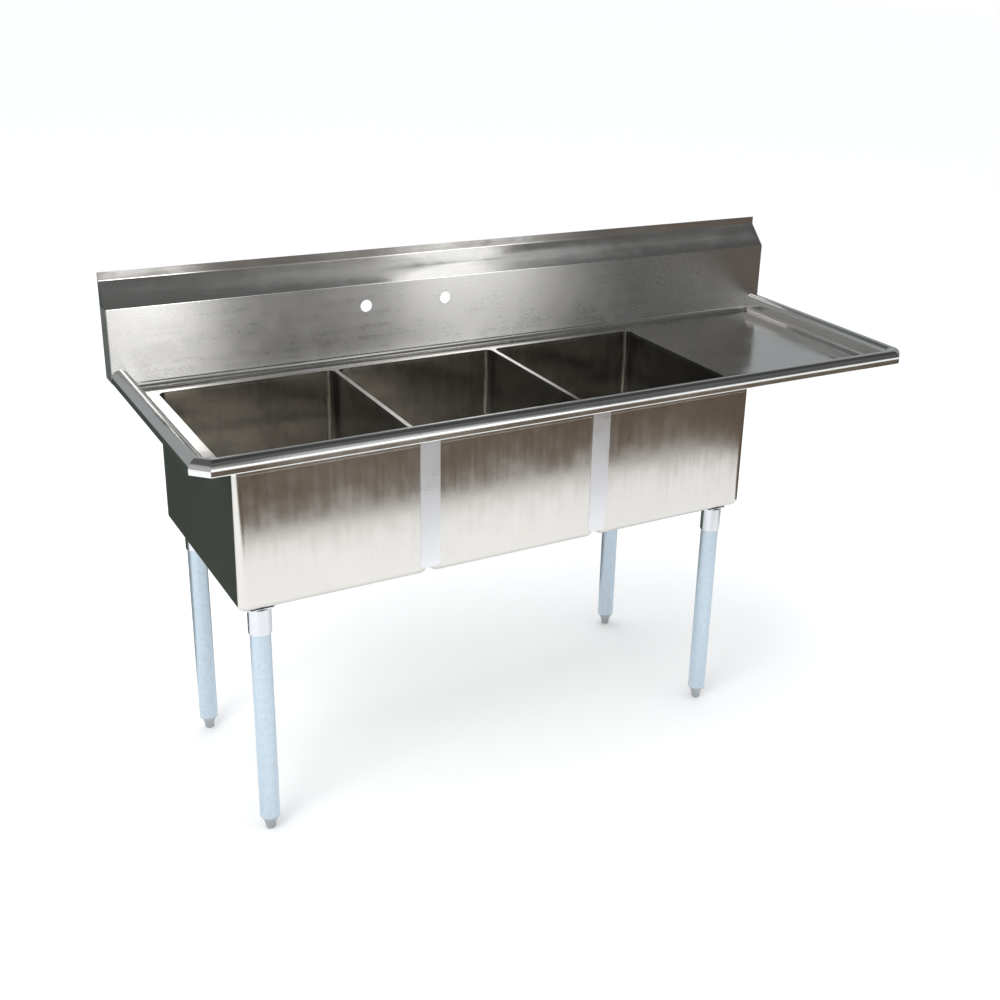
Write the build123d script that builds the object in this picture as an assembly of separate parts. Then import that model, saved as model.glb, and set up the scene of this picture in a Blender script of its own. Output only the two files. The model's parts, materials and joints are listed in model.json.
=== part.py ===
"""Three compartment scullery sink with a right-hand drainboard, on four galvanised legs.

Millimetres. +X runs along the sink to the drainboard end, +Y runs back to the wall, +Z is up.
The origin is the centre of the footprint, on the floor.
"""
from build123d import *
import math
import os

os.makedirs("parts", exist_ok=True)

INCH = 25.4

# Overall sizes
LENGTH = 69 * INCH
DEPTH = 25.5 * INCH
RIM_TOP = 34 * INCH
SPLASH_TOP = 42 * INCH
SHEET = 1.5

# Rolled rim
RIM_WIDTH = 1.5 * INCH
RIM_DROP = 30.0
RIM_CLIP = 32.0
HEM = 8.0
ROLL_RADIUS = RIM_WIDTH / 2 - 0.05

# Deck and bowls
DECK_DROP = 1.75 * INCH
COVE = 12.0
UPSTAND = 13.0
LEFT_MARGIN = 3 * INCH
BOWL_PITCH = 16 * INCH
BOWL_COUNT = 3
DIVIDER = 10.0
BOWL_LENGTH = 20 * INCH
BOWL_DEPTH = 11.5 * INCH
DISH = 0.5 * INCH
CORNER = 0.625 * INCH
FLOOR_BEND = 14.0
LIP = 6.0
FLAT_MARGIN = 100.0
DRAIN_SQUARE = 124.0

# Backsplash
SPLASH_BOX = 2 * INCH
FLANGE = 0.75 * INCH
FAUCET_SPACING = 8 * INCH
FAUCET_HOLE = 1.125 * INCH
FAUCET_DROP = 2 * INCH

# Legs and feet
LEG_TUBE = 1.625 * INCH
LEG_WALL = 1.5
LEG_FROM_LEFT = 126.0
LEG_FROM_RIGHT = 522.6
LEG_FROM_FRONT = 64.0
LEG_FROM_WALL = 155.7
BRACKET_THICK = 3.0
SOCKET_LENGTH = 56.0
SOCKET_WALL = 2.6
TUBE_TOP_GAP = 10.0
BULLET_SHOWN = 27.0
COLLAR = 6.0
STEM = 12.7

# Drains
DRAIN_HOLE = 3.5 * INCH
FLANGE_DIA = 4.5 * INCH
DRAIN_WALL = 2.0
OUTLET_RADIUS = 23.4
WATERWAY_RADIUS = 19.0
CLAMPED_BORE = DRAIN_HOLE - 2.0
GASKET_THICK = 3.0
GASKET_DIA = 110.0
LOCKNUT_HEIGHT = 9.0
LOCKNUT_DIA = 104.0
LUG_COUNT = 8
LUG_RADIUS = 53.0

# Strainer baskets
BASKET_RIM = 41.2
BASKET_DEPTH = 30.0
SCREEN_THICK = 1.2
SCREEN_HOLE = 4.8
SCREEN_RINGS = ((10.0, 6), (18.0, 12), (26.5, 18))

# Cover strips and drainboard stiffeners
STRIP_WIDTH = 43.5
STRIP_SHEET = 1.2
STRIP_CLIP = 7.0
CHANNEL_WIDTH = 36.0
CHANNEL_DEPTH = 22.0
CHANNEL_FOOT = 14.0
CHANNEL_BEND = 2.5
CHANNEL_PLACES = {"front": -110.0, "back": 150.0}

# Derived planes
X_LEFT = -LENGTH / 2
X_RIGHT = LENGTH / 2
Y_FRONT = -DEPTH / 2
Y_WALL = DEPTH / 2
Y_INNER = Y_FRONT + RIM_WIDTH
Y_RISER = Y_WALL - SPLASH_BOX
DECK_TOP = RIM_TOP - DECK_DROP
LEG_OF_RIM = DECK_TOP + UPSTAND
RIM_BOTTOM = RIM_TOP - RIM_DROP
BOWL_FRONT = Y_INNER
BOWL_BACK = BOWL_FRONT + BOWL_LENGTH
BOWL_WIDTH = BOWL_PITCH - DIVIDER
FLOOR_TOP = DECK_TOP - BOWL_DEPTH
DRAIN_TOP = FLOOR_TOP - DISH
FLOOR_UNDER = FLOOR_TOP - SHEET
BOWL_NAMES = ["left", "middle", "right"]
BOWL_CENTRES = [X_LEFT + LEFT_MARGIN + (i + 0.5) * BOWL_PITCH for i in range(BOWL_COUNT)]
BOWL_MID_Y = (BOWL_FRONT + BOWL_BACK) / 2
DECK_RIGHT = BOWL_CENTRES[-1] + BOWL_WIDTH / 2 + 12.0
LEG_PLACES = {
    "front_left": (X_LEFT + LEG_FROM_LEFT, Y_FRONT + LEG_FROM_FRONT),
    "front_right": (X_RIGHT - LEG_FROM_RIGHT, Y_FRONT + LEG_FROM_FRONT),
    "back_left": (X_LEFT + LEG_FROM_LEFT, Y_WALL - LEG_FROM_WALL),
    "back_right": (X_RIGHT - LEG_FROM_RIGHT, Y_WALL - LEG_FROM_WALL),
}


UPRIGHT = (Align.CENTER, Align.CENTER, Align.MIN)


def save(node, shape):
    """Write one node's solid or group of solids."""
    export_step(shape, f"parts/{node}.step")


def offset_points(points, shift):
    """Corners of a polyline moved sideways by shift, to its left when shift is positive."""
    normals = []
    for (x0, y0), (x1, y1) in zip(points, points[1:]):
        run = math.hypot(x1 - x0, y1 - y0)
        normals.append((-(y1 - y0) / run, (x1 - x0) / run))
    moved = []
    for i, (x, y) in enumerate(points):
        before = normals[max(i - 1, 0)]
        after = normals[min(i, len(normals) - 1)]
        share = 1 + before[0] * after[0] + before[1] * after[1]
        moved.append((x + shift * (before[0] + after[0]) / share, y + shift * (before[1] + after[1]) / share))
    return moved


def offset_radii(points, radii, shift):
    """Bend radii on the moved side: smaller on the inside of a bend, larger on its outside."""
    moved = []
    for (x0, y0), (x1, y1), (x2, y2), radius in zip(points, points[1:], points[2:], radii):
        turn = (x1 - x0) * (y2 - y1) - (y1 - y0) * (x2 - x1)
        moved.append(radius - shift * math.copysign(1, turn))
    return moved


def sheet_face(points, radii, shift):
    """Section of a bent sheet: points run along its visible side, and its metal lies shift to the left."""
    other = offset_points(points, shift)
    side_a = FilletPolyline(*points, radius=radii)
    side_b = FilletPolyline(*other, radius=offset_radii(points, radii, shift))
    ends = [Line(points[0], other[0]), Line(points[-1], other[-1])]
    return make_face(side_a.edges() + side_b.edges() + ends)


def along_x(face, x_start, x_end):
    """Extrude a section drawn in (y, z) from x_start to x_end."""
    return extrude(Plane.YZ.offset(x_start) * face, amount=x_end - x_start)


def along_y(face, y_start, y_end):
    """Extrude a section drawn in (x, z) from y_start to y_end."""
    return extrude(Plane.XZ.offset(-y_start) * face, amount=y_end - y_start, dir=(0, 1, 0))


def prism(outline, z_low, z_high):
    """Upright prism on a polygon outline in (x, y)."""
    return extrude(Plane.XY.offset(z_low) * make_face(Polyline(*outline, close=True)), amount=z_high - z_low)


def block(x_low, x_high, y_low, y_high, z_low, z_high):
    """Box between two corners."""
    size = (x_high - x_low, y_high - y_low, z_high - z_low)
    return Pos((x_low + x_high) / 2, (y_low + y_high) / 2, z_low) * Box(*size, align=UPRIGHT)


def disc(x, y, z_low, z_high, diameter):
    """Upright cylinder."""
    return Pos(x, y, z_low) * Cylinder(diameter / 2, z_high - z_low, align=UPRIGHT)


def turned(x, y, points):
    """Solid of revolution about an upright axis; points are (radius, z)."""
    return Pos(x, y, 0) * revolve(Plane.XZ * make_face(Polyline(*points, close=True)), Axis.Z)


def bowl_prism(centre, grow, z_low, z_high):
    """Upright prism on a bowl's rounded outline, grown outwards by grow."""
    outline = RectangleRounded(BOWL_WIDTH + 2 * grow, BOWL_LENGTH + 2 * grow, CORNER + grow)
    return extrude(Pos(centre, BOWL_MID_Y, z_low) * outline, amount=z_high - z_low)


def dished_column(centre, grow, z_high):
    """Bowl-shaped solid with a bent floor edge and a shallow pyramid that falls to the drain square."""
    floor = FLOOR_TOP - grow
    column = bowl_prism(centre, grow, floor, z_high)
    column = fillet(column.faces().sort_by(Axis.Z)[0].edges(), FLOOR_BEND + grow)
    size = (BOWL_WIDTH - 2 * FLAT_MARGIN, BOWL_LENGTH - 2 * FLAT_MARGIN)
    wide = Pos(centre, BOWL_MID_Y, floor) * Rectangle(*size)
    low = Pos(centre, BOWL_MID_Y, floor - DISH) * Rectangle(DRAIN_SQUARE, DRAIN_SQUARE)
    return column + loft([wide, low], ruled=True)


def make_bowl(centre):
    """Deep bowl: coved corners, dished floor, round drain hole; its walls stop under the deck's lip."""
    shell = dished_column(centre, SHEET, DECK_TOP - LIP) - dished_column(centre, 0, DECK_TOP)
    return shell - disc(centre, BOWL_MID_Y, DRAIN_TOP - 10, DRAIN_TOP + 10, DRAIN_HOLE)


INNER_LEFT = X_LEFT + RIM_WIDTH
INNER_RIGHT = X_RIGHT - RIM_WIDTH


def clip_at(inset):
    """Length cut off a front corner of an outline that lies inset inside the rim's outer edge."""
    return RIM_CLIP - inset * (2 - math.sqrt(2))


def pan_blank(x_low, x_high, grow, left_clipped, right_clipped):
    """Solid inside of a shallow pan, grown by grow, with its bottom edges coved except at a seam."""
    clip = clip_at(RIM_WIDTH - grow)
    low, high = x_low - grow * left_clipped, x_high + grow * right_clipped
    y_low, y_high = Y_INNER - grow, Y_RISER + grow
    front_left = [(low, y_low + clip), (low + clip, y_low)] if left_clipped else [(low, y_low)]
    front_right = [(high - clip, y_low), (high, y_low + clip)] if right_clipped else [(high, y_low)]
    bottom = DECK_TOP - grow
    blank = prism([(low, y_high)] + front_left + front_right + [(high, y_high)], bottom, RIM_TOP)
    seams = [] if left_clipped else [low]
    seams += [] if right_clipped else [high]
    edges = blank.faces().sort_by(Axis.Z)[0].edges()
    bends = [e for e in edges if all(abs(e.center().X - seam) > 1 for seam in seams)]
    above = block(low - 1, high + 1, y_low - 1, y_high + 1, LEG_OF_RIM, RIM_TOP + 1)
    return fillet(bends, COVE + grow) - above


def make_deck():
    """Top sheet round the three bowls: left and back ledges, dividers and a turned-down lip at each bowl."""
    rings = [bowl_prism(x, SHEET, DECK_TOP - LIP, LEG_OF_RIM) for x in BOWL_CENTRES]
    holes = [bowl_prism(x, 0, DECK_TOP - 50, DECK_TOP + 50) for x in BOWL_CENTRES]
    outer = pan_blank(INNER_LEFT, DECK_RIGHT, SHEET, True, False)
    inner = pan_blank(INNER_LEFT, DECK_RIGHT, 0, True, False)
    return (outer + rings) - inner - holes


def make_drainboard():
    """Flat drainboard with coved upstands along the front rim, the right rim and the riser."""
    outer = pan_blank(DECK_RIGHT, INNER_RIGHT, SHEET, False, True)
    return outer - pan_blank(DECK_RIGHT, INNER_RIGHT, 0, False, True)


def rim_face(inner, outer):
    """Section of the rolled rim: upright inner leg, half-round top, short drop and a hem."""
    inward = math.copysign(1, inner - outer)
    points = [(inner, LEG_OF_RIM), (inner, RIM_TOP), (outer, RIM_TOP), (outer, RIM_BOTTOM)]
    points.append((outer + inward * HEM, RIM_BOTTOM))
    shift = SHEET if outer < inner else -SHEET
    return sheet_face(points, [ROLL_RADIUS, ROLL_RADIUS, 3.0], shift)


def mitre(x, y, run_a, run_b):
    """Upright plane that halves the turn between two runs of rim, meeting at (x, y)."""
    return Plane(origin=(x, y, RIM_TOP), z_dir=(run_a[0] + run_b[0], run_a[1] + run_b[1], 0))


DIAGONAL = math.sqrt(0.5)
LEFT_MITRES = [
    mitre(X_LEFT, Y_FRONT + RIM_CLIP, (0, -1), (DIAGONAL, -DIAGONAL)),
    mitre(X_LEFT + RIM_CLIP, Y_FRONT, (DIAGONAL, -DIAGONAL), (1, 0)),
]
RIGHT_MITRES = [
    mitre(X_RIGHT - RIM_CLIP, Y_FRONT, (1, 0), (DIAGONAL, DIAGONAL)),
    mitre(X_RIGHT, Y_FRONT + RIM_CLIP, (DIAGONAL, DIAGONAL), (0, 1)),
]


def make_front_rim():
    """Front run of the rim, mitred at both clipped corners."""
    run = along_x(rim_face(Y_INNER, Y_FRONT), X_LEFT, X_RIGHT)
    run = split(run, bisect_by=LEFT_MITRES[1], keep=Keep.TOP)
    return split(run, bisect_by=RIGHT_MITRES[0], keep=Keep.BOTTOM)


def make_left_rim():
    """Left run of the rim, from the riser to the clipped corner."""
    run = along_y(rim_face(INNER_LEFT, X_LEFT), Y_FRONT, Y_RISER)
    return split(run, bisect_by=LEFT_MITRES[0], keep=Keep.BOTTOM)


def make_right_rim():
    """Right run of the rim, from the clipped corner to the riser."""
    run = along_y(rim_face(INNER_RIGHT, X_RIGHT), Y_FRONT, Y_RISER)
    return split(run, bisect_by=RIGHT_MITRES[1], keep=Keep.TOP)


def make_corner(right):
    """Short diagonal run of rim that clips a front corner."""
    x, y = (X_RIGHT - RIM_CLIP, Y_FRONT) if right else (X_LEFT, Y_FRONT + RIM_CLIP)
    run = (DIAGONAL, DIAGONAL, 0) if right else (DIAGONAL, -DIAGONAL, 0)
    across = (-DIAGONAL, DIAGONAL, 0) if right else (DIAGONAL, DIAGONAL, 0)
    section = Plane(origin=(x, y, 0), x_dir=across, z_dir=run)
    face = section * rim_face(RIM_WIDTH, 0)
    blank = extrude(face, amount=3 * RIM_CLIP, both=True)
    near, far = RIGHT_MITRES if right else LEFT_MITRES
    blank = split(blank, bisect_by=near, keep=Keep.TOP)
    return split(blank, bisect_by=far, keep=Keep.BOTTOM)


def splash_points():
    """Visible side of the backsplash: riser, 45 degree slope and wall flange."""
    slope_top = SPLASH_TOP - FLANGE
    back = Y_WALL - SHEET
    return [(Y_RISER, LEG_OF_RIM), (Y_RISER, slope_top - SPLASH_BOX), (back, slope_top), (back, SPLASH_TOP)]


def make_backsplash():
    """Boxed backsplash sheet with two faucet holes above the middle bowl."""
    sheet = along_x(sheet_face(splash_points(), [3.0, 3.0], -SHEET), X_LEFT + SHEET, X_RIGHT - SHEET)
    hole_z = SPLASH_TOP - FLANGE - SPLASH_BOX - FAUCET_DROP
    for side in (-0.5, 0.5):
        at = Pos(BOWL_CENTRES[1] + side * FAUCET_SPACING, Y_RISER, hole_z)
        sheet -= at * Rot(90, 0, 0) * Cylinder(FAUCET_HOLE / 2, 20)
    return sheet


def make_end_cap(x_low):
    """Welded plate that closes an end of the boxed backsplash."""
    profile = splash_points()
    outline = [(Y_RISER, RIM_BOTTOM)] + profile[1:3] + [(Y_WALL - SHEET, SPLASH_TOP), (Y_WALL, SPLASH_TOP)]
    outline.append((Y_WALL, RIM_BOTTOM))
    return along_x(make_face(Polyline(*outline, close=True)), x_low, x_low + SHEET)


def make_seam_strip(x):
    """Flat strip over the valley between two bowl fronts, with clipped lower corners."""
    half, clip = STRIP_WIDTH / 2, STRIP_CLIP
    low, high = FLOOR_TOP + FLOOR_BEND, RIM_BOTTOM + 6.0
    outline = [(x - half, high), (x - half, low + clip), (x - half + clip, low)]
    outline += [(x + half - clip, low), (x + half, low + clip), (x + half, high)]
    back = BOWL_FRONT - SHEET
    return along_y(make_face(Polyline(*outline, close=True)), back - STRIP_SHEET, back)


def make_channel(y):
    """Hat channel that stiffens the drainboard from below."""
    top = DECK_TOP - SHEET
    half, low = CHANNEL_WIDTH / 2, top - CHANNEL_DEPTH
    points = [(y - half - CHANNEL_FOOT, top - SHEET), (y - half, top - SHEET), (y - half, low)]
    points += [(y + half, low), (y + half, top - SHEET), (y + half + CHANNEL_FOOT, top - SHEET)]
    face = sheet_face(points, [CHANNEL_BEND] * 4, SHEET)
    return along_x(face, DECK_RIGHT + 6.0, INNER_RIGHT - COVE - 6.0)


def make_bracket(x, y):
    """Flat plate welded under a bowl corner; it carries the leg socket."""
    half_x, half_y, clip = 32.0, 32.0, 10.0
    shift = 12.0 if y < 0 else -12.0
    low_y, high_y = y + shift - half_y, y + shift + half_y
    outline = [(x - half_x + clip, low_y), (x + half_x - clip, low_y), (x + half_x, low_y + clip)]
    outline += [(x + half_x, high_y - clip), (x + half_x - clip, high_y), (x - half_x + clip, high_y)]
    outline += [(x - half_x, high_y - clip), (x - half_x, low_y + clip)]
    return prism(outline, FLOOR_UNDER - BRACKET_THICK, FLOOR_UNDER)


SOCKET_TOP = FLOOR_UNDER - BRACKET_THICK
SOCKET_BOTTOM = SOCKET_TOP - SOCKET_LENGTH
SCREW_Z = SOCKET_BOTTOM + 18.0
SCREW_DIA = 6.35


def make_socket(x, y):
    """Stainless sleeve below a bracket; the leg slides up inside it."""
    inner = LEG_TUBE + 0.3
    sleeve = disc(x, y, SOCKET_BOTTOM, SOCKET_TOP, inner + 2 * SOCKET_WALL)
    sleeve -= disc(x, y, SOCKET_BOTTOM - 1, SOCKET_TOP, inner)
    sleeve = chamfer(sleeve.faces().sort_by(Axis.Z)[0].edges(), 0.8)
    return sleeve - Pos(x, y, SCREW_Z) * Rot(-90, 0, 0) * Cylinder(SCREW_DIA / 2, 40, align=UPRIGHT)


def make_set_screw(x, y):
    """Socket-head set screw that clamps the leg from behind."""
    length = 7.0
    body = Cylinder(SCREW_DIA / 2 - 0.05, length, align=UPRIGHT)
    drive = Pos(0, 0, length - 3.0) * extrude(RegularPolygon(1.6, 6), amount=4.0)
    return Pos(x, y + LEG_TUBE / 2, SCREW_Z) * Rot(-90, 0, 0) * (body - drive)


TUBE_BOTTOM = BULLET_SHOWN + COLLAR
TUBE_TOP = SOCKET_TOP - TUBE_TOP_GAP
TUBE_INNER = LEG_TUBE - 2 * LEG_WALL


def make_leg(x, y):
    """Galvanised leg tube."""
    tube = disc(x, y, TUBE_BOTTOM, TUBE_TOP, LEG_TUBE)
    return tube - disc(x, y, TUBE_BOTTOM - 1, TUBE_TOP + 1, TUBE_INNER)


def make_insert(x, y):
    """Plug driven into the tube's lower end: tapered collar, guide bore and threaded top."""
    bore, thread = 27.6 / 2, STEM / 2 + 0.08
    plug_top = TUBE_BOTTOM + 34.0
    points = [(bore, BULLET_SHOWN), (17.6, BULLET_SHOWN), (LEG_TUBE / 2, TUBE_BOTTOM - 1.5)]
    points += [(LEG_TUBE / 2, TUBE_BOTTOM), (TUBE_INNER / 2, TUBE_BOTTOM), (TUBE_INNER / 2, plug_top)]
    points += [(thread, plug_top), (thread, plug_top - 14.0), (bore, plug_top - 14.0)]
    return turned(x, y, points)


def make_bullet(x, y):
    """Adjustable bullet foot: tapered toe, guide and threaded stem."""
    guide_top, stem_top = BULLET_SHOWN + 10.0, 98.6
    points = [(0, 0), (8.2, 0), (9.6, 1.4), (11.4, 14.0), (13.5, 19.0), (13.5, guide_top - 1)]
    points += [(12.5, guide_top), (5.4, guide_top), (5.4, guide_top + 2)]
    pitch, count = 2.4, 24
    for i in range(count):
        low = guide_top + 2 + i * pitch
        points += [(STEM / 2, low + 0.6), (STEM / 2, low + 1.2), (5.4, low + 1.8), (5.4, low + pitch)]
    points += [(5.4, stem_top), (0, stem_top)]
    return turned(x, y, points)


def make_drain_body(x):
    """Strainer body: flange on the bowl floor, cup through the hole and threaded outlet below."""
    y, top = BOWL_MID_Y, DRAIN_TOP
    cup, wall = DRAIN_HOLE / 2 - 1.0, DRAIN_WALL
    step, outlet, bore = top - 42.0, OUTLET_RADIUS, WATERWAY_RADIUS
    points = [(cup - wall, top - 1.2), (cup, top + 0.9), (FLANGE_DIA / 2 - 1, top + 0.9)]
    points += [(FLANGE_DIA / 2, top), (cup, top)]
    points += [(cup, top - 34.0), (outlet + 3, step), (outlet, step), (outlet, step - 18.0)]
    points += [(bore, step - 18.0), (bore, step + wall), (outlet + 2, step + wall), (cup - wall, top - 33.0)]
    return turned(x, y, points)


def ring(x, z_low, z_high, outer, inner):
    """Flat ring round a drain's axis."""
    return disc(x, BOWL_MID_Y, z_low, z_high, outer) - disc(x, BOWL_MID_Y, z_low - 1, z_high + 1, inner)


def make_locknut(x):
    """Lugged ring nut that clamps the strainer body from below."""
    top = DRAIN_TOP - SHEET - GASKET_THICK
    low = top - LOCKNUT_HEIGHT
    nut = ring(x, low, top, LOCKNUT_DIA, CLAMPED_BORE)
    for i in range(LUG_COUNT):
        lug = Pos(x, BOWL_MID_Y, low) * Rot(0, 0, 360 / LUG_COUNT * i) * Pos(LUG_RADIUS, 0, 0)
        nut += lug * Box(6.0, 9.0, LOCKNUT_HEIGHT, align=UPRIGHT)
    return nut


def make_gasket(x):
    """Rubber washer between the bowl floor and the locknut."""
    top = DRAIN_TOP - SHEET
    return ring(x, top - GASKET_THICK, top, GASKET_DIA, CLAMPED_BORE)


BASKET_FLOOR = DRAIN_TOP - BASKET_DEPTH


def make_basket(x):
    """Lift-out crumb basket: tapered cup wall with a turned-out rim and a narrow seat for its screen."""
    top, foot = DRAIN_TOP, BASKET_RIM - 3.1
    points = [(BASKET_RIM - 1.1, top - 0.4), (BASKET_RIM + 0.6, top + 1.6), (BASKET_RIM + 1.7, top + 1.6)]
    points += [(BASKET_RIM + 1.7, top + 1.1), (BASKET_RIM, top - 0.75), (foot, BASKET_FLOOR - SCREEN_THICK)]
    points += [(foot - 4.0, BASKET_FLOOR - SCREEN_THICK), (foot - 4.0, BASKET_FLOOR)]
    points.append((foot - 1.1, BASKET_FLOOR))
    return turned(x, BOWL_MID_Y, points)


def make_screen(x):
    """Perforated disc welded into the basket's foot."""
    screen = disc(x, BOWL_MID_Y, BASKET_FLOOR - SCREEN_THICK, BASKET_FLOOR, 2 * (BASKET_RIM - 7.1))
    for ring_radius, count in SCREEN_RINGS:
        for i in range(count):
            at = Pos(x, BOWL_MID_Y, BASKET_FLOOR - 3) * Rot(0, 0, 360 / count * i) * Pos(ring_radius, 0, 0)
            screen -= at * Cylinder(SCREEN_HOLE / 2, 8, align=UPRIGHT)
    return screen


def make_knob(x):
    """Turned knob that lifts the basket."""
    low = BASKET_FLOOR
    points = [(0, low), (4.5, low), (4.5, low + 1.5), (2.6, low + 2.5), (2.6, low + 19), (6.5, low + 22)]
    points += [(6.5, low + 26), (4.5, low + 28), (0, low + 28)]
    return turned(x, BOWL_MID_Y, points)


def build():
    """Make every node."""
    for name, x in zip(BOWL_NAMES, BOWL_CENTRES):
        save(f"bowl_{name}", make_bowl(x))
        save(f"drain_body_{name}", make_drain_body(x))
        save(f"drain_gasket_{name}", make_gasket(x))
        save(f"drain_locknut_{name}", make_locknut(x))
        save(f"strainer_basket_{name}", make_basket(x))
        save(f"strainer_screen_{name}", make_screen(x))
        save(f"strainer_knob_{name}", make_knob(x))
    save("top_deck", make_deck())
    save("drainboard", make_drainboard())
    save("front_rim", make_front_rim())
    save("left_rim", make_left_rim())
    save("right_rim", make_right_rim())
    save("rim_corner_left", make_corner(False))
    save("rim_corner_right", make_corner(True))
    save("backsplash", make_backsplash())
    save("splash_end_cap_left", make_end_cap(X_LEFT))
    save("splash_end_cap_right", make_end_cap(X_RIGHT - SHEET))
    for name, i in (("left", 0), ("right", 1)):
        save(f"seam_strip_{name}", make_seam_strip((BOWL_CENTRES[i] + BOWL_CENTRES[i + 1]) / 2))
    for name, y in CHANNEL_PLACES.items():
        save(f"drainboard_channel_{name}", make_channel(y))
    for name, (x, y) in LEG_PLACES.items():
        save(f"leg_bracket_{name}", make_bracket(x, y))
        save(f"leg_socket_{name}", make_socket(x, y))
        save(f"leg_tube_{name}", make_leg(x, y))
        save(f"foot_insert_{name}", make_insert(x, y))
        save(f"bullet_foot_{name}", make_bullet(x, y))
    screws = [make_set_screw(x, y) for x, y in LEG_PLACES.values()]
    save("socket_set_screws", Compound(children=screws))


build()
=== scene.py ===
"""Looks for the three compartment sink: brushed stainless sheet, galvanised legs, plain studio."""

import json
import math

import bpy
from mathutils import Matrix, Vector

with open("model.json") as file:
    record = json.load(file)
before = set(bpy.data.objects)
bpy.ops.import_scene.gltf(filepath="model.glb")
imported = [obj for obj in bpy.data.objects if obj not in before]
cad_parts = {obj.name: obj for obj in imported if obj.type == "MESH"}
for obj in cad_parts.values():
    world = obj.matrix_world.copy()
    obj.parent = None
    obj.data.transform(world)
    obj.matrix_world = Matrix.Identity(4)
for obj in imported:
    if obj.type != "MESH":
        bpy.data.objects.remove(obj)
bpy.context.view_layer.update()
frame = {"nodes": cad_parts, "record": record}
NODES = frame["nodes"]

# Height of the splash's 45 degree bend, in metres
SLOPE_FOOT = 0.994


# ---------------------------------------------------------------- shader helpers
class Graph:
    """Small builder for a node tree."""

    def __init__(self, tree):
        self.tree = tree
        tree.nodes.clear()

    def add(self, kind, **settings):
        node = self.tree.nodes.new("ShaderNode" + kind)
        for key, value in settings.items():
            setattr(node, key, value)
        return node

    def link(self, source, target):
        self.tree.links.new(source, target)

    def feed(self, socket, value):
        if isinstance(value, bpy.types.NodeSocket):
            self.link(value, socket)
        else:
            socket.default_value = value

    def maths(self, operation, a, b=0.0):
        node = self.add("Math", operation=operation)
        self.feed(node.inputs[0], a)
        self.feed(node.inputs[1], b)
        return node.outputs[0]

    def scaled(self, vector, scale):
        node = self.add("VectorMath", operation="MULTIPLY")
        self.feed(node.inputs[0], vector)
        node.inputs[1].default_value = scale
        return node.outputs[0]

    def noise(self, vector, scale, detail=3.0, rough=0.55):
        node = self.add("TexNoise")
        self.feed(node.inputs["Vector"], vector)
        node.inputs["Scale"].default_value = scale
        node.inputs["Detail"].default_value = detail
        node.inputs["Roughness"].default_value = rough
        return node.outputs["Fac"]

    def remap(self, value, low, high, to_low, to_high, interpolation="SMOOTHSTEP"):
        node = self.add("MapRange", interpolation_type=interpolation)
        names = ("From Min", "From Max", "To Min", "To Max")
        for name, number in zip(names, (low, high, to_low, to_high)):
            self.feed(node.inputs[name], number)
        self.feed(node.inputs["Value"], value)
        return node.outputs["Result"]

    def mix(self, factor, a, b):
        node = self.add("Mix", data_type="RGBA")
        self.feed(node.inputs[0], factor)
        self.feed(node.inputs[6], a)
        self.feed(node.inputs[7], b)
        return node.outputs[2]

    def ramp(self, value, stops):
        node = self.add("ValToRGB")
        ramp = node.color_ramp
        ramp.interpolation = "EASE"
        while len(ramp.elements) > 1:
            ramp.elements.remove(ramp.elements[-1])
        ramp.elements[0].position = stops[0][0]
        ramp.elements[0].color = rgba(stops[0][1])
        for position, colour in stops[1:]:
            ramp.elements.new(position).color = rgba(colour)
        self.feed(node.inputs["Fac"], value)
        return node.outputs["Color"]


def rgba(colour):
    return (*colour, 1.0)


def grey(level):
    return (level, level, level)


def shade(colour, share):
    """Darker version of a colour, ready for a socket."""
    return rgba([c * share for c in colour])


def start_material(name):
    """New material, its graph with the shader joined to the output, and the object's coordinates."""
    material = bpy.data.materials.new(name)
    material.use_nodes = True
    g = Graph(material.node_tree)
    out = g.add("OutputMaterial")
    bsdf = g.add("BsdfPrincipled")
    g.link(bsdf.outputs[0], out.inputs[0])
    return material, g, bsdf, g.add("TexCoord").outputs["Object"]


GRAIN_FINE, GRAIN_LONG = 700.0, 5.0
GRAIN_RELIEF = 0.0004


def grain_scale(kind, fine):
    """Noise scale that is fine across the grain and long along it."""
    long = {"wall": "xy", "along_x": "x", "along_y": "y", "along_z": "z"}[kind]
    return tuple(GRAIN_LONG if axis in long else fine for axis in "xyz")


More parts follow.
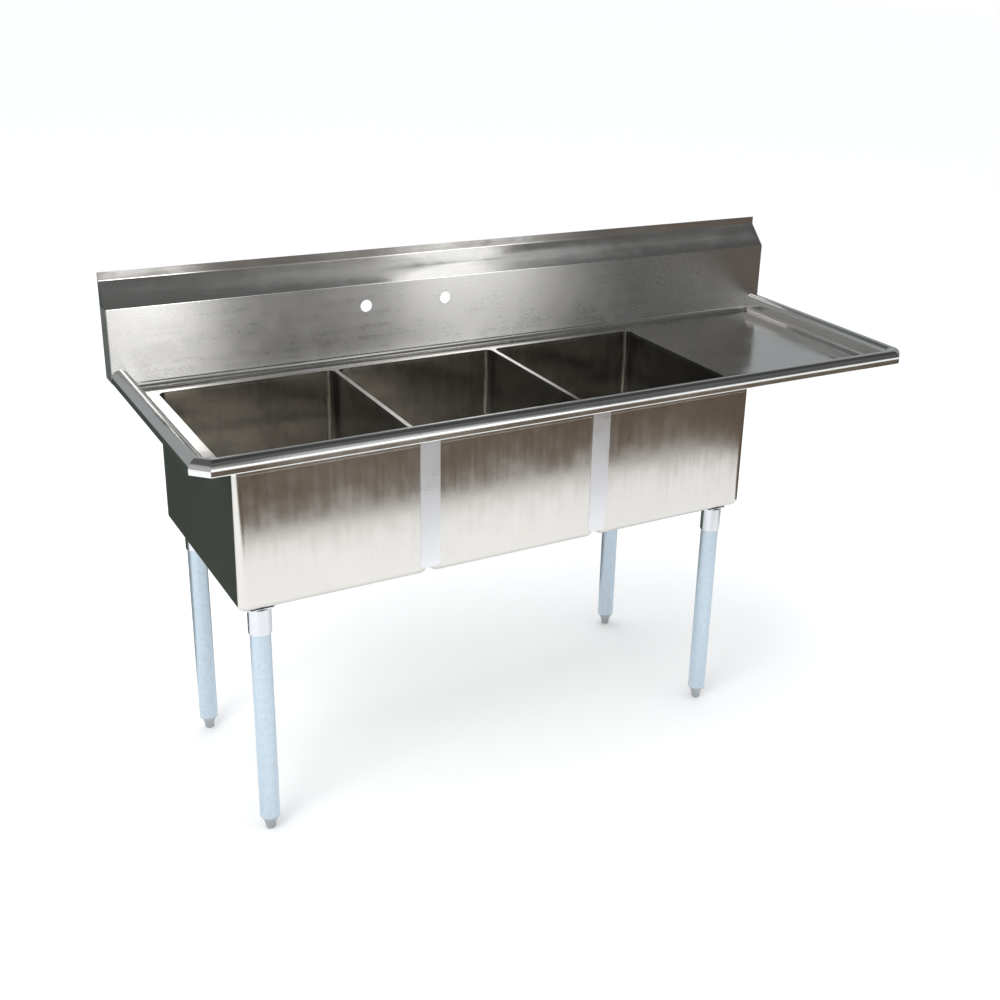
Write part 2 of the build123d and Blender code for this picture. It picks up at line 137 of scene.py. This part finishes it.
def steel(name, tint, rough, grain="wall", anisotropic=0.0, relief=0.06, cloud=0.06, waviness=0.0,
          edge=0.0006, spots=0.0, turn=0.25, bright_above=None):
    """Stainless sheet: brushed grain, cloudy marks, slight oil-canning and worn edges.

    bright_above is a height in metres and the change in roughness above it, where the sheet is less rubbed.
    """
    material, g, bsdf, place = start_material(name)
    lines = g.noise(g.scaled(place, grain_scale(grain, GRAIN_FINE)), 1.0, 2.0, 0.6)
    bands = g.noise(g.scaled(place, grain_scale(grain, GRAIN_FINE / 7)), 1.0, 2.0, 0.5)
    clouds = g.noise(place, 3.2, 4.0, 0.6)
    marks = g.noise(place, 26.0, 3.0, 0.65)
    bsdf.inputs["Metallic"].default_value = 1.0
    bsdf.inputs["Anisotropic"].default_value = anisotropic
    bsdf.inputs["Anisotropic Rotation"].default_value = turn
    tone = g.mix(g.remap(clouds, 0.3, 0.7, 0.0, 1.0), shade(tint, 0.93), rgba(tint))
    tone = g.mix(g.remap(lines, 0.25, 0.75, 0.0, 0.10), tone, shade(tint, 0.6))
    if spots:
        dots = g.noise(place, 60.0, 2.0, 0.5)
        tone = g.mix(g.remap(dots, 0.68, 0.8, 0.0, spots), tone, rgba((0.35, 0.27, 0.2)))
    g.link(tone, bsdf.inputs["Base Color"])
    total = g.maths("ADD", g.remap(clouds, 0.25, 0.75, rough - cloud, rough + cloud),
                    g.remap(marks, 0.35, 0.75, -0.01, 0.03))
    total = g.maths("ADD", total, g.remap(bands, 0.3, 0.7, -0.01, 0.02))
    if bright_above:
        height, change = bright_above
        parts = g.add("SeparateXYZ")
        g.link(place, parts.inputs[0])
        total = g.maths("ADD", total, g.remap(parts.outputs[2], height, height + 0.004, 0.0, change))
    g.link(g.maths("MAXIMUM", total, 0.03), bsdf.inputs["Roughness"])
    bevel = g.add("Bevel", samples=4)
    bevel.inputs["Radius"].default_value = edge
    normal = bevel.outputs[0]
    if waviness:
        swell = g.add("Bump")
        swell.inputs["Strength"].default_value = 1.0
        swell.inputs["Distance"].default_value = waviness
        g.link(g.noise(place, 2.6, 0.0, 0.4), swell.inputs["Height"])
        g.link(normal, swell.inputs["Normal"])
        normal = swell.outputs[0]
    bump = g.add("Bump")
    bump.inputs["Strength"].default_value = relief
    bump.inputs["Distance"].default_value = GRAIN_RELIEF
    g.link(lines, bump.inputs["Height"])
    g.link(normal, bump.inputs["Normal"])
    g.link(bump.outputs[0], bsdf.inputs["Normal"])
    return material


def galvanised(name, tint):
    """Zinc-coated tube: bluish spangle and a soft sheen."""
    material, g, bsdf, place = start_material(name)
    cells = g.add("TexVoronoi")
    cells.inputs["Scale"].default_value = 130.0
    g.link(place, cells.inputs["Vector"])
    spangle = g.maths("MULTIPLY", cells.outputs["Color"], 1.0)  # one number for each cell's colour
    drawn = g.noise(g.scaled(place, (400.0, 400.0, 6.0)), 1.0, 2.0, 0.5)
    bsdf.inputs["Metallic"].default_value = 0.75
    tone = g.mix(spangle, shade(tint, 0.86), rgba(tint))
    tone = g.mix(g.remap(drawn, 0.3, 0.7, 0.0, 0.15), tone, shade(tint, 0.7))
    g.link(tone, bsdf.inputs["Base Color"])
    g.link(g.remap(spangle, 0.0, 1.0, 0.34, 0.46), bsdf.inputs["Roughness"])
    bump = g.add("Bump")
    bump.inputs["Strength"].default_value = 0.08
    bump.inputs["Distance"].default_value = 0.0003
    g.link(drawn, bump.inputs["Height"])
    g.link(bump.outputs[0], bsdf.inputs["Normal"])
    return material


PEBBLE_SCALE, PEBBLE_STRENGTH = 180.0, 0.2


def plain(name, tint, rough, metallic=0.0):
    """Cast, moulded or rubber surface with a fine pebble."""
    material, g, bsdf, place = start_material(name)
    pebble = g.noise(place, PEBBLE_SCALE, 3.0, 0.6)
    clouds = g.noise(place, 30.0, 2.0, 0.5)
    bsdf.inputs["Metallic"].default_value = metallic
    g.link(g.mix(g.remap(clouds, 0.3, 0.7, 0.0, 1.0), shade(tint, 0.85), rgba(tint)),
           bsdf.inputs["Base Color"])
    g.link(g.remap(pebble, 0.3, 0.7, rough - 0.06, rough + 0.08), bsdf.inputs["Roughness"])
    bump = g.add("Bump")
    bump.inputs["Strength"].default_value = PEBBLE_STRENGTH
    bump.inputs["Distance"].default_value = GRAIN_RELIEF
    g.link(pebble, bump.inputs["Height"])
    g.link(bump.outputs[0], bsdf.inputs["Normal"])
    return material


STEEL = (0.80, 0.79, 0.77)
LOOKS = {
    "splash_steel": steel("splash brushed steel", STEEL, 0.28, "wall", anisotropic=1.0, relief=0.015,
                          cloud=0.02, waviness=0.0003, bright_above=(SLOPE_FOOT, -0.13)),
    "bowl_steel": steel("bowl brushed steel", (0.70, 0.68, 0.645), 0.16, "along_z", anisotropic=0.7, turn=0.0,
                        cloud=0.03, waviness=0.0008, spots=0.10),
    "deck_steel": steel("deck brushed steel", STEEL, 0.13, "along_x", waviness=0.0008),
    "rim_steel": steel("rim polished steel", (0.82, 0.82, 0.81), 0.15, "along_x", edge=0.0008),
    "strip_steel": steel("strip bright steel", (0.88, 0.89, 0.92), 0.30, "wall"),
    "channel_steel": steel("channel mill steel", (0.6, 0.6, 0.6), 0.32, "along_x"),
    "socket_steel": steel("socket satin steel", (0.74, 0.76, 0.79), 0.26, "along_z"),
    "screw_steel": plain("screw black steel", (0.05, 0.05, 0.055), 0.4, 0.8),
    "galvanised_tube": galvanised("galvanised tube", (0.60, 0.71, 0.80)),
    "insert_plastic": plain("insert grey plastic", (0.42, 0.45, 0.48), 0.45),
    "foot_steel": plain("foot cast steel", (0.45, 0.48, 0.50), 0.38, 0.85),
    "drain_steel": steel("drain polished steel", (0.78, 0.78, 0.77), 0.12, "along_x"),
    "gasket_rubber": plain("gasket black rubber", (0.03, 0.03, 0.03), 0.7),
    "locknut_brass": plain("locknut cast brass", (0.62, 0.48, 0.24), 0.35, 1.0),
    "basket_steel": steel("basket polished steel", (0.78, 0.78, 0.77), 0.14, "along_x"),
}
RIM_SIDE = steel("rim polished steel side", (0.82, 0.82, 0.81), 0.15, "along_y", edge=0.0008)


def dress(node, material):
    mesh = NODES[node].data
    mesh.materials.clear()
    mesh.materials.append(material)


for part in frame["record"]["subparts"]:
    dress(part["node"], LOOKS[part["material_slot"]])
for node in ("left_rim", "right_rim"):
    dress(node, RIM_SIDE)


# ---------------------------------------------------------------- studio
def studio_world():
    """White to the camera; to the steel, a soft room of a few broad light and dark zones."""
    world = bpy.data.worlds.new("studio")
    bpy.context.scene.world = world
    world.use_nodes = True
    world.cycles.sampling_method = "NONE"
    g = Graph(world.node_tree)
    out = g.add("OutputWorld")
    way = g.add("TexCoord").outputs["Generated"]
    parts = g.add("SeparateXYZ")
    g.link(way, parts.inputs[0])
    x, y, z = parts.outputs
    bearing = g.maths("ARCTAN2", x, g.maths("MULTIPLY", y, -1.0))
    room = g.ramp(g.remap(bearing, *radians(BAND_RANGE), 0.0, 1.0, "LINEAR"), ROOM_BANDS)
    level = g.maths("ARCSINE", z)
    back = g.remap(g.maths("ABSOLUTE", bearing), *radians(BACK_BLEND), 0.0, 1.0)
    side = g.mix(back, room, rgba(WALL_BEHIND))
    overhead = g.ramp(g.remap(bearing, *radians(CEILING_RANGE), 0.0, 1.0), CEILING_BANDS)
    sky = g.mix(g.remap(level, *radians(CEILING_BLEND), 0.0, 1.0), side, overhead)
    ground = g.mix(back, rgba(FAR_FLOOR), rgba(FLOOR_BEHIND))
    seen = g.mix(g.remap(level, *radians(HORIZON_BLEND), 1.0, 0.0), sky, ground)
    ray = g.add("LightPath")
    glossy = g.add("Background")
    g.link(seen, glossy.inputs["Color"])
    soft = g.add("Background")
    soft.inputs["Color"].default_value = rgba(FILL_COLOUR)
    soft.inputs["Strength"].default_value = FILL_STRENGTH
    white = g.add("Background")
    white.inputs["Color"].default_value = rgba(grey(1.0))
    inner = g.add("MixShader")
    g.link(ray.outputs["Is Glossy Ray"], inner.inputs[0])
    g.link(soft.outputs[0], inner.inputs[1])
    g.link(glossy.outputs[0], inner.inputs[2])
    outer = g.add("MixShader")
    g.link(ray.outputs["Is Camera Ray"], outer.inputs[0])
    g.link(inner.outputs[0], outer.inputs[1])
    g.link(white.outputs[0], outer.inputs[2])
    g.link(outer.outputs[0], out.inputs[0])


def radians(degrees):
    return [math.radians(value) for value in degrees]


# Bearings from the front and heights above the horizon are in degrees
BAND_RANGE = (5.0, 50.0)
CEILING_RANGE = (30.0, 80.0)
BACK_BLEND = (100.0, 130.0)
CEILING_BLEND = (28.0, 50.0)
HORIZON_BLEND = (-13.0, -6.0)
FILL_COLOUR, FILL_STRENGTH = (0.97, 0.985, 1.0), 1.08


def stop(bearing, colour):
    """Colour stop of the room at a bearing."""
    return ((bearing - BAND_RANGE[0]) / (BAND_RANGE[1] - BAND_RANGE[0]), colour)


ROOM_BANDS = [
    stop(5, grey(0.5)), stop(12, grey(1.0)), stop(18, grey(0.2)), stop(26, grey(1.0)), stop(32, grey(0.12)),
    stop(46, grey(0.1)),
]
CEILING_BANDS = [(0.0, grey(0.12)), (0.6, grey(0.16)), (1.0, grey(0.06))]
WALL_BEHIND = (0.36, 0.38, 0.39)
FAR_FLOOR = (0.15, 0.115, 0.085)
FLOOR_BEHIND = (0.06, 0.075, 0.062)
studio_world()


def sheet_object(name, corners):
    """Flat rectangle from its corners."""
    mesh = bpy.data.meshes.new(name)
    mesh.from_pydata(corners, [], [tuple(range(len(corners)))])
    obj = bpy.data.objects.new(name, mesh)
    bpy.context.scene.collection.objects.link(obj)
    return obj


# The steel mirrors only the first piece; the pieces on the right and behind don't show in reflections
FLOOR_FRONT, FLOOR_BACK, FLOOR_SIDE, FLOOR_FAR = -1.7, 0.4, 1.5, 30.0


def floor_sheet(name, x_low, x_high, y_low, y_high):
    corners = [(x_low, y_low, 0), (x_high, y_low, 0), (x_high, y_high, 0), (x_low, y_high, 0)]
    return sheet_object(name, corners)


floor = floor_sheet("studio_floor", -FLOOR_FAR, FLOOR_SIDE, FLOOR_FRONT, FLOOR_BACK)
floor_right = floor_sheet("studio_floor_right", FLOOR_SIDE, FLOOR_FAR, FLOOR_FRONT, FLOOR_BACK)
floor_back = floor_sheet("studio_floor_back", -FLOOR_FAR, FLOOR_FAR, FLOOR_BACK, 2 * FLOOR_FAR)
floor_right.visible_glossy = False
floor_back.visible_glossy = False
paper = bpy.data.materials.new("pale paper")
paper.use_nodes = True
paper_nodes = paper.node_tree.nodes["Principled BSDF"]
paper_nodes.inputs["Base Color"].default_value = (0.96, 0.96, 0.96, 1.0)
paper_nodes.inputs["Roughness"].default_value = 0.9
paper_nodes.inputs["Specular IOR Level"].default_value = 0.1
for ground in (floor, floor_right, floor_back):
    ground.data.materials.append(paper)


def softbox(name, place, target, size, power):
    """Rectangular softbox aimed at a target, unseen by the camera."""
    light = bpy.data.lights.new(name, "AREA")
    light.shape = "RECTANGLE"
    light.size, light.size_y = size
    light.energy = power
    obj = bpy.data.objects.new(name, light)
    bpy.context.scene.collection.objects.link(obj)
    obj.location = place
    obj.rotation_mode = "QUATERNION"
    obj.rotation_quaternion = (Vector(target) - Vector(place)).to_track_quat("-Z", "Y")
    obj.visible_camera = False
    return obj


def group(name, objects):
    """Collection outside the scene, for light linking."""
    collection = bpy.data.collections.new(name)
    for obj in objects:
        collection.objects.link(obj)
    return collection


WATTS_PER_AREA = 4.0  # makes a softbox of level 1 about as bright as a white world


def linked_softbox(name, place, facing, size, level, receivers):
    """Softbox of a given brightness that lights only the receivers."""
    power = WATTS_PER_AREA * size[0] * size[1] * level
    obj = softbox(name, place, Vector(place) + Vector(facing), size, power)
    obj.light_linking.receiver_collection = receivers


for box in (
    softbox("key softbox", (-2.6, -1.6, 3.0), (-0.1, 0.0, 0.6), (1.6, 1.6), 40.0),
    softbox("top softbox", (0.4, 0.4, 3.6), (0.0, 0.0, 0.6), (2.6, 1.6), 30.0),
):
    box.visible_glossy = False

SPLASH = group("splash", [NODES["backsplash"]])
BOWLS = group("bowls", [NODES[f"bowl_{side}"] for side in ("left", "middle", "right")])
ROLL_NODES = ("front_rim", "rim_corner_left", "rim_corner_right")
FRONT_ROLL = group("front roll", [NODES[node] for node in ROLL_NODES])
# Two tall softboxes in front, which the brushed riser draws out into upright glows
linked_softbox("left tall softbox", (0.1, -3.5, 2.1), (0, 1, 0), (0.5, 2.4), 4.0, SPLASH)
linked_softbox("centre tall softbox", (1.9, -3.5, 2.1), (0, 1, 0), (0.8, 2.4), 2.4, SPLASH)
# One overhead for the slope, one wide one for the bowls and one long one for the front roll
linked_softbox("overhead softbox", (2.4, -1.0, 6.0), (0, 0, -1), (0.8, 6.0), 0.9, SPLASH)
linked_softbox("bowl softbox", (0.0, -5.0, 3.2), (0, 1, -0.4), (14.0, 4.0), 0.9, BOWLS)
linked_softbox("front softbox", (2.5, -4.0, 0.85), (0, 1, 0), (5.0, 1.5), 0.8, FRONT_ROLL)

scene = bpy.context.scene
scene.view_settings.view_transform = "Standard"

# ---------------------------------------------------------------- camera, at the angle of the photograph
YAW, PITCH, ROLL = 0.5726, 0.3814, 0.0484
FOCAL_RATIO = 1.3233
SENSOR_WIDTH = 36.0
CAMERA_PLACE = (-1.4564, -2.5321, 1.7771)
SHIFT = (-0.0914, -0.0366)


def set_camera():
    """Place the camera by its turn, tilt and roll, in radians, and its focal length over sensor width."""
    forward = Vector((math.sin(YAW) * math.cos(PITCH), math.cos(YAW) * math.cos(PITCH), -math.sin(PITCH)))
    right = Vector((math.cos(YAW), -math.sin(YAW), 0.0))
    up = right.cross(forward)
    right_rolled = math.cos(ROLL) * right + math.sin(ROLL) * up
    up_rolled = -math.sin(ROLL) * right + math.cos(ROLL) * up
    data = bpy.data.cameras.new("camera")
    data.sensor_width = SENSOR_WIDTH
    data.lens = FOCAL_RATIO * data.sensor_width
    data.shift_x, data.shift_y = SHIFT
    camera = bpy.data.objects.new("camera", data)
    scene.collection.objects.link(camera)
    turn = Matrix((right_rolled, up_rolled, -forward)).transposed()
    camera.matrix_world = Matrix.Translation(CAMERA_PLACE) @ turn.to_4x4()
    scene.camera = camera


set_camera()
